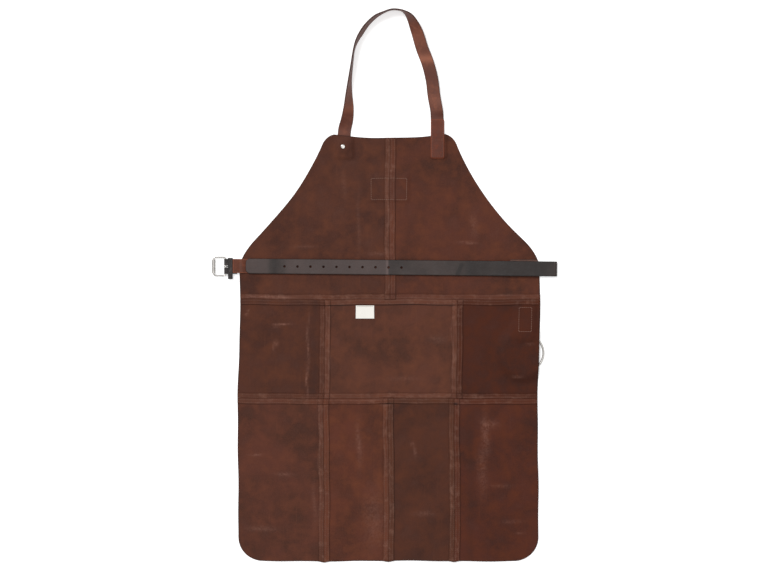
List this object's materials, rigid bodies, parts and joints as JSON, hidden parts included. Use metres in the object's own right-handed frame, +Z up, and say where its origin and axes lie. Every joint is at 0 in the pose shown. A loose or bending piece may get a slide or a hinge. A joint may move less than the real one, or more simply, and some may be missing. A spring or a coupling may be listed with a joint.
{
  "type": "leather work apron",
  "caption": "Patchwork leather bib apron laid flat, lining side up, with a neck loop, a buckled waist belt and a towel ring.",
  "frame": {"origin": "on the underside of the waist panel, the face that it lies on, midway between the two cross seams", "axes": "+Z up from the table through the lining side, +Y along the apron to the neck, +X across it away from the buckle"},
  "size_m": [0.6902, 1.1032, 0.0261],
  "materials": {
    "leather_brown": "waxed nubuck, matt",
    "leather_dark": "waxed nubuck, matt",
    "leather_strap": "waxed strap leather, satin",
    "leather_belt": "dark grey strap leather, satin",
    "leather_black": "pebbled black leather",
    "nickel": "polished nickel plate",
    "label_cloth": "woven satin tape"
  },
  "bodies": {
    "root": {"bib_panel_left": "leather_brown", "bib_panel_right": "leather_brown", "waist_panel_left": "leather_brown", "waist_panel_centre": "leather_brown", "waist_panel_right": "leather_dark", "skirt_panel_outer_left": "leather_brown", "skirt_panel_inner_left": "leather_brown", "skirt_panel_inner_right": "leather_brown", "skirt_panel_outer_right": "leather_dark", "badge_patch": "leather_brown", "neck_strap_end_left": "leather_strap", "neck_strap_end_right": "leather_strap", "neck_tab_on_bib": "leather_strap", "stud_cap": "nickel", "stud_screw": "nickel", "ring_loop": "leather_strap", "belt_anchor_tab": "leather_strap", "belt_anchor_end": "leather_belt", "buckle_tab_sewn": "leather_strap"},
    "neck_loop": {"neck_strap": "leather_strap", "neck_tab_on_strap": "leather_strap"},
    "label": {"care_label": "label_cloth"},
    "belt": {"belt_strap": "leather_belt"},
    "buckle_end": {"buckle_tab_free": "leather_strap", "buckle_chape": "leather_black"},
    "keeper": {"belt_keeper": "leather_black"},
    "buckle": {"buckle_frame": "nickel"},
    "roller": {"buckle_roller": "nickel"},
    "prong": {"buckle_prong": "nickel"},
    "ring": {"towel_ring": "nickel"}
  },
  "joints": [
    {"name": "neck_loop_fold", "type": "hinge", "parent": "root", "child": "neck_loop", "pos_m": [0, 0.431, 0.0025], "axis": [1, 0, 0], "range_deg": [-45, 90]},
    {"name": "label_flip", "type": "hinge", "parent": "root", "child": "label", "pos_m": [-0.048, 0.087, 0.0021], "axis": [-1, 0, 0], "range_deg": [0, 100]},
    {"name": "belt_unfold", "type": "hinge", "parent": "root", "child": "belt", "pos_m": [0.332, 0.16, 0.00525], "axis": [0.0096, 1, 0], "range_deg": [0, 180]},
    {"name": "buckle_end_flex", "type": "hinge", "parent": "root", "child": "buckle_end", "pos_m": [-0.299, 0.166, 0.005], "axis": [0, 1, 0], "range_deg": [0, 60]},
    {"name": "keeper_slide", "type": "slide", "parent": "buckle_end", "child": "keeper", "axis": [0, 1, 0], "range_m": [-0.0008, 0.009]},
    {"name": "buckle_swing", "type": "hinge", "parent": "buckle_end", "child": "buckle", "pos_m": [-0.3266, 0.1651, 0.004], "axis": [0, 1, 0], "range_deg": [-60, 100]},
    {"name": "roller_spin", "type": "hinge", "parent": "buckle", "child": "roller", "pos_m": [-0.3505, 0.1651, 0.004], "axis": [0, 1, 0], "continuous": true},
    {"name": "prong_swing", "type": "hinge", "parent": "buckle_end", "child": "prong", "pos_m": [-0.3266, 0.1651, 0.004], "axis": [0, 1, 0], "range_deg": [0, 160]},
    {"name": "ring_swing", "type": "hinge", "parent": "root", "child": "ring", "pos_m": [0.2706, 0.0298, 0.004], "axis": [1, 0, 0], "range_deg": [0, 120]}
  ]
}
